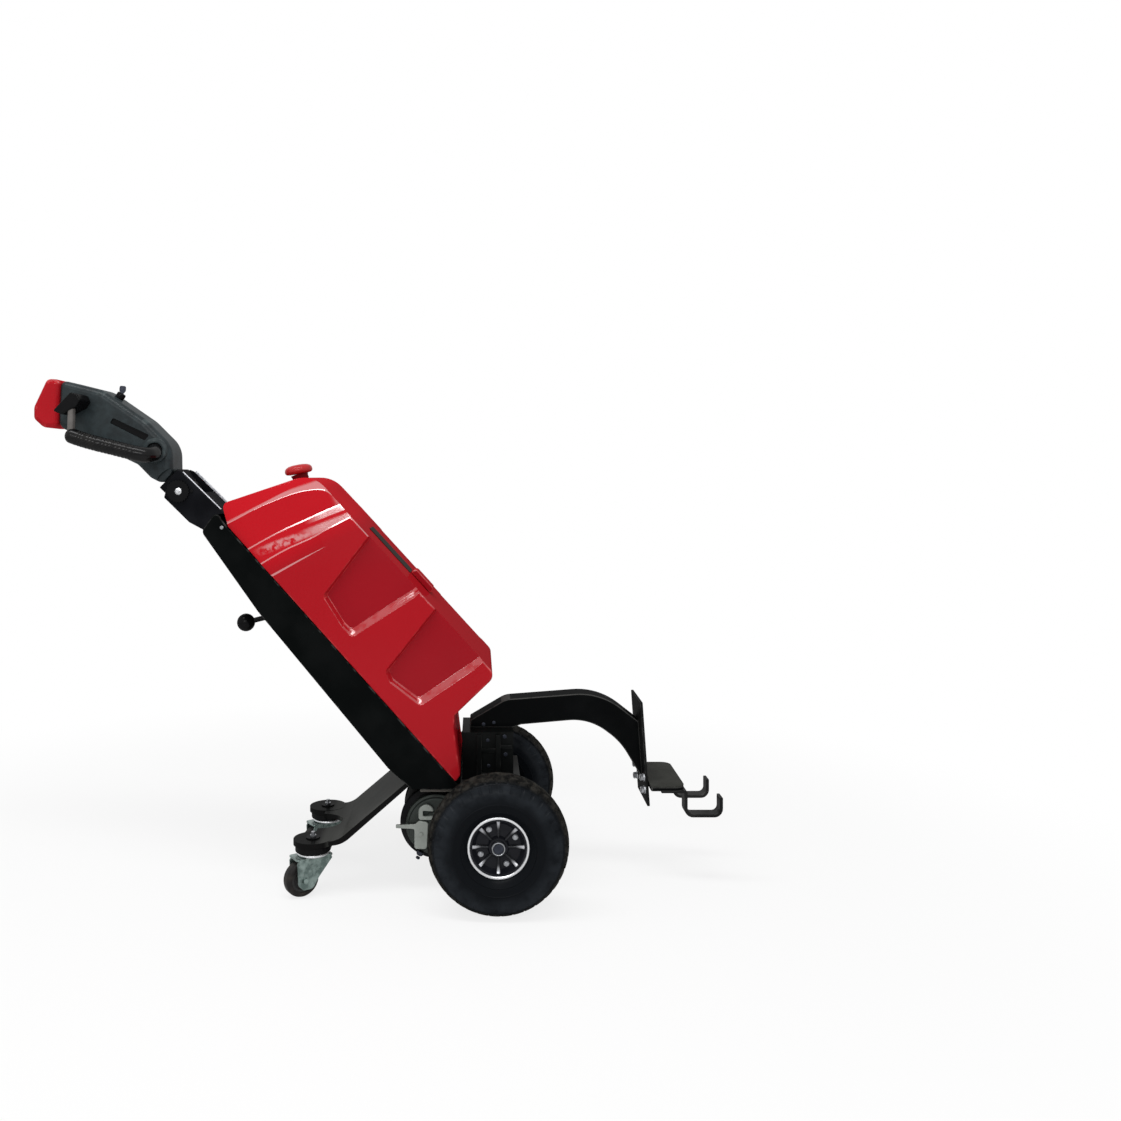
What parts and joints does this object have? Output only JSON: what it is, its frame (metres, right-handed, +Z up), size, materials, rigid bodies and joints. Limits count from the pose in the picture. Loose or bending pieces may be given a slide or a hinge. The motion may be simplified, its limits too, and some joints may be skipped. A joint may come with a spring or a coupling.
{
  "type": "electric tow tractor",
  "caption": "Walk-behind electric tug: driven wheels under a sloping covered frame, swivel casters behind, tilting tiller head and a hook hitch on a bent arm.",
  "frame": {"origin": "on the floor under the middle of the overall length and width", "axes": "+X points to the hitch, which is the front, +Y to the left of someone at the tiller, +Z up"},
  "size_m": [1.5237, 0.546, 1.1123],
  "materials": {
    "painted_black": "satin black powder coat",
    "painted_grey": "dark grey satin powder coat",
    "cover_red": "glossy red moulded plastic",
    "button_red": "red plastic, slightly glossy",
    "head_plastic": "grey-green textured plastic",
    "black_plastic": "black plastic",
    "window_plastic": "dark smoked plastic",
    "tyre_rubber": "black tyre rubber",
    "grip_rubber": "black soft rubber",
    "rim_metal": "black disc with a bright machined ring",
    "zinc": "bright zinc plating",
    "caster_plastic": "grey plastic hub",
    "battery_case": "dark grey plastic",
    "machine_grey": "black painted casting"
  },
  "bodies": {
    "chassis": {"frame_channel": "painted_black", "cover_shell": "cover_red", "cover_window": "window_plastic", "cover_latch": "cover_red", "stop_button": "button_red", "battery_block": "battery_case", "base_plate": "painted_grey", "drive_carrier": "painted_black", "gearbox": "machine_grey", "drive_motor": "machine_grey", "motor_brake": "machine_grey", "brake_lever": "zinc", "motor_bracket": "painted_black", "hitch_arm": "painted_black", "hitch_plate": "painted_black", "platform": "painted_grey", "hook_near": "painted_black", "hook_far": "painted_black", "stand_plate": "painted_grey", "caster_socket_near": "painted_black", "caster_socket_far": "painted_black", "release_knob": "black_plastic", "handle_sleeve": "painted_black"},
    "drive_wheel_near": {"tyre_near": "tyre_rubber", "rim_near": "rim_metal", "axle_near": "zinc"},
    "drive_wheel_far": {"tyre_far": "tyre_rubber", "rim_far": "rim_metal", "axle_far": "zinc"},
    "caster_swivel_near": {"caster_fork_near": "zinc"},
    "caster_roller_near": {"caster_wheel_near": "caster_plastic", "caster_tyre_near": "tyre_rubber"},
    "caster_swivel_far": {"caster_fork_far": "zinc"},
    "caster_roller_far": {"caster_wheel_far": "caster_plastic", "caster_tyre_far": "tyre_rubber"},
    "tiller": {"handle_neck": "painted_black", "tiller_head": "head_plastic", "end_button": "button_red", "key_switch": "black_plastic", "grip_near": "grip_rubber", "grip_far": "grip_rubber"}
  },
  "joints": [
    {"name": "wheel_spin_near", "type": "hinge", "parent": "chassis", "child": "drive_wheel_near", "pos_m": [0.27, -0.228, 0.145], "axis": [0, 1, 0], "continuous": true},
    {"name": "wheel_spin_far", "type": "hinge", "parent": "chassis", "child": "drive_wheel_far", "pos_m": [0.27, 0.228, 0.145], "axis": [0, 1, 0], "continuous": true},
    {"name": "caster_swivel_near", "type": "hinge", "parent": "chassis", "child": "caster_swivel_near", "pos_m": [-0.126, -0.113, 0.09], "axis": [0, 0, 1], "continuous": true},
    {"name": "caster_spin_near", "type": "hinge", "parent": "caster_swivel_near", "child": "caster_roller_near", "pos_m": [-0.14921, -0.12866, 0.0375], "axis": [-0.5592, 0.829, 0], "continuous": true},
    {"name": "caster_swivel_far", "type": "hinge", "parent": "chassis", "child": "caster_swivel_far", "pos_m": [-0.126, 0.113, 0.09], "axis": [0, 0, 1], "continuous": true},
    {"name": "caster_spin_far", "type": "hinge", "parent": "caster_swivel_far", "child": "caster_roller_far", "pos_m": [-0.14921, 0.09734, 0.0375], "axis": [-0.5592, 0.829, 0], "continuous": true},
    {"name": "tiller_tilt", "type": "hinge", "parent": "chassis", "child": "tiller", "pos_m": [-0.433, 0, 0.863], "axis": [0, 1, 0], "range_deg": [-20, 30]}
  ]
}
